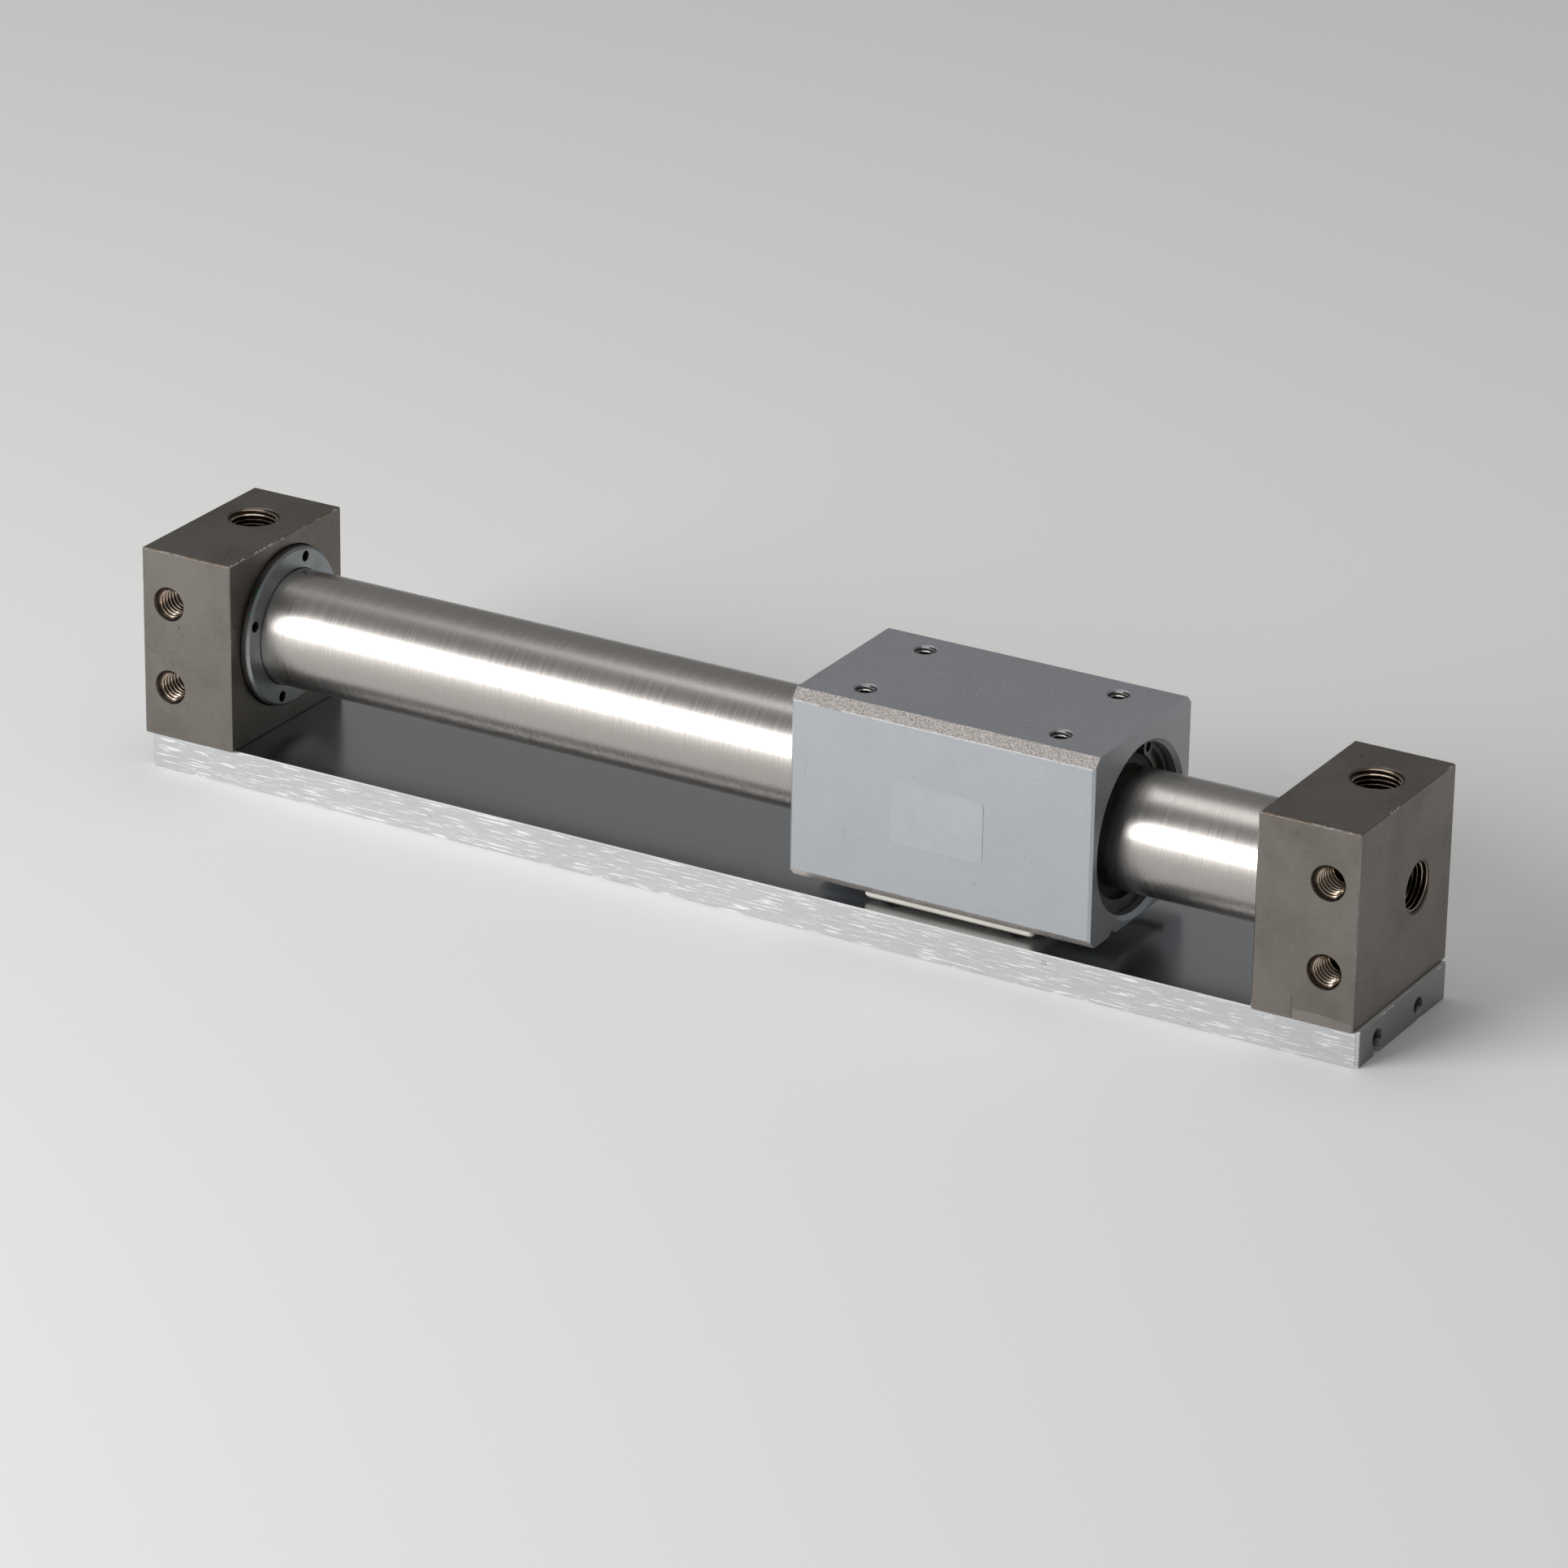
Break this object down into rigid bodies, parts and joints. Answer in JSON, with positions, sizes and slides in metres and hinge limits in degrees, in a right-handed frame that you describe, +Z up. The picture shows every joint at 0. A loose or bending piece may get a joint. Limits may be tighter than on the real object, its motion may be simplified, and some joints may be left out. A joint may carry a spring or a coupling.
{
  "type": "rodless pneumatic cylinder",
  "caption": "Magnetically coupled rodless air cylinder: a block slider rides a steel tube between two ported end plates, over a flat switch rail.",
  "frame": {"origin": "mid-length between the end plates' outer faces, on the tube's vertical plane, at the rail's underside", "axes": "+X along the tube to the right end plate, +Z up through the slider's top, +Y to the back"},
  "size_m": [0.2578, 0.038, 0.047],
  "materials": {
    "end_plate": "electroless nickel plating, satin, warm grey",
    "attachment_ring": "turned, satin",
    "stainless_tube": "fine brushing round the tube",
    "rail": "clear anodised, brushed along its length",
    "slider_body": "clear anodised, fine matt blast",
    "turned_aluminium": "turned",
    "spring_steel": "phosphated spring steel",
    "zinc_steel": "zinc plated steel",
    "black_steel": "black oxide steel",
    "yoke_steel": "chromated rolled steel",
    "magnet": "nickel plated rare earth magnet",
    "seal_rubber": "black nitrile rubber",
    "bumper_rubber": "urethane rubber",
    "bearing_plastic": "special resin",
    "felt": "felt soaked with grease",
    "white_plastic": "moulded off-white resin"
  },
  "bodies": {
    "cylinder_frame": {"cylinder_tube": "stainless_tube", "left_attachment_ring": "attachment_ring", "left_end_plate": "end_plate", "left_tube_clip": "spring_steel", "left_tube_gasket": "seal_rubber", "rail_screws": "black_steel", "right_attachment_ring": "attachment_ring", "right_end_plate": "end_plate", "right_tube_clip": "spring_steel", "right_tube_gasket": "seal_rubber", "switch_rail": "rail"},
    "slider": {"left_circlip": "spring_steel", "left_collar": "turned_aluminium", "left_lube_retainer": "felt", "left_scraper": "seal_rubber", "left_slider_wear_ring": "bearing_plastic", "outer_magnet_1": "magnet", "outer_magnet_2": "magnet", "outer_magnet_3": "magnet", "outer_magnet_4": "magnet", "outer_yoke_1": "yoke_steel", "outer_yoke_2": "yoke_steel", "outer_yoke_3": "yoke_steel", "outer_yoke_4": "yoke_steel", "outer_yoke_5": "yoke_steel", "pad_screws": "zinc_steel", "right_circlip": "spring_steel", "right_collar": "turned_aluminium", "right_lube_retainer": "felt", "right_scraper": "seal_rubber", "right_slider_wear_ring": "bearing_plastic", "sensor_magnet": "magnet", "slide_pad": "white_plastic", "slider_body": "slider_body"},
    "piston": {"inner_magnet_1": "magnet", "inner_magnet_2": "magnet", "inner_magnet_3": "magnet", "inner_magnet_4": "magnet", "inner_yoke_1": "yoke_steel", "inner_yoke_2": "yoke_steel", "inner_yoke_3": "yoke_steel", "inner_yoke_4": "yoke_steel", "inner_yoke_5": "yoke_steel", "left_bumper": "bumper_rubber", "left_piston_head": "turned_aluminium", "left_piston_nut": "zinc_steel", "left_piston_seal": "seal_rubber", "left_piston_wear_ring": "bearing_plastic", "piston_shaft": "zinc_steel", "right_bumper": "bumper_rubber", "right_piston_head": "turned_aluminium", "right_piston_nut": "zinc_steel", "right_piston_seal": "seal_rubber", "right_piston_wear_ring": "bearing_plastic"}
  },
  "joints": [
    {"name": "slider_travel", "type": "slide", "parent": "cylinder_frame", "child": "slider", "axis": [1, 0, 0], "range_m": [-0.12, 0.03]},
    {"name": "piston_travel", "type": "slide", "parent": "cylinder_frame", "child": "piston", "axis": [1, 0, 0], "range_m": [-0.12, 0.03]}
  ],
  "couplings": [
    {"joint": "piston_travel", "follows": "slider_travel", "ratio": 1}
  ]
}
